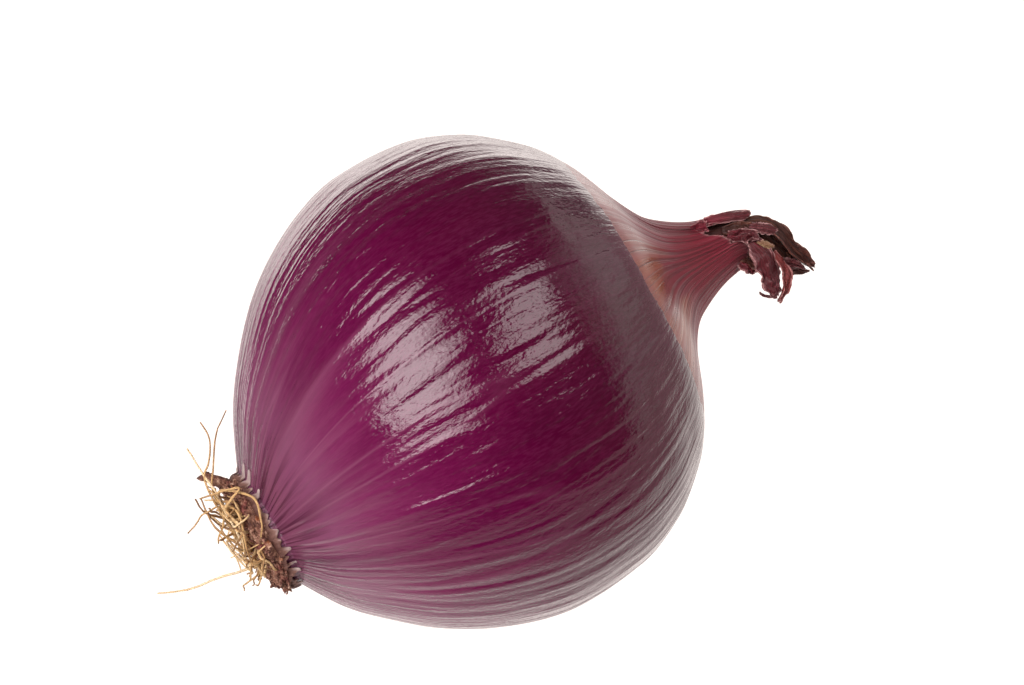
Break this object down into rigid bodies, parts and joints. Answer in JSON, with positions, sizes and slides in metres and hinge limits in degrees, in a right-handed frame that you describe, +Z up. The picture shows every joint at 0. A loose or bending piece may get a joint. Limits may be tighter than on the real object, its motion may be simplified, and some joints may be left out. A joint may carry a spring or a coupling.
{
  "type": "red onion",
  "caption": "Whole red onion lying on its side: glossy purple bulb, torn papery skin cap round a bent dry neck, corky root plate and dry curling roots.",
  "frame": {"origin": "on the surface the onion lies on, below the middle of its bounding box, which is within the flat spot it rests on", "axes": "+X along the onion's axis from the roots to the neck, +Z up, so the neck's bend and the torn flaps point to -Y and up"},
  "size_m": [0.1196, 0.0798, 0.0797],
  "materials": {
    "bulb_skin": "glossy red onion skin, dark purple to pink, with fine lengthwise veins",
    "papery_skin": "thin dry papery skin, satin, crimson to brown with lengthwise pleats",
    "dry_leaf": "dried brown leaf, matte, pleated lengthwise",
    "pale_torn_skin": "pale dry torn skin, matte",
    "corky_plate": "brown crumbly cork, matte",
    "dry_root": "dry straw-coloured root fibre, matte"
  },
  "bodies": {
    "root": {"bulb": "bulb_skin", "papery_cap": "papery_skin", "dry_leaves": "dry_leaf", "skin_collar": "pale_torn_skin", "root_plate": "corky_plate", "roots": "dry_root"}
  },
  "joints": []
}
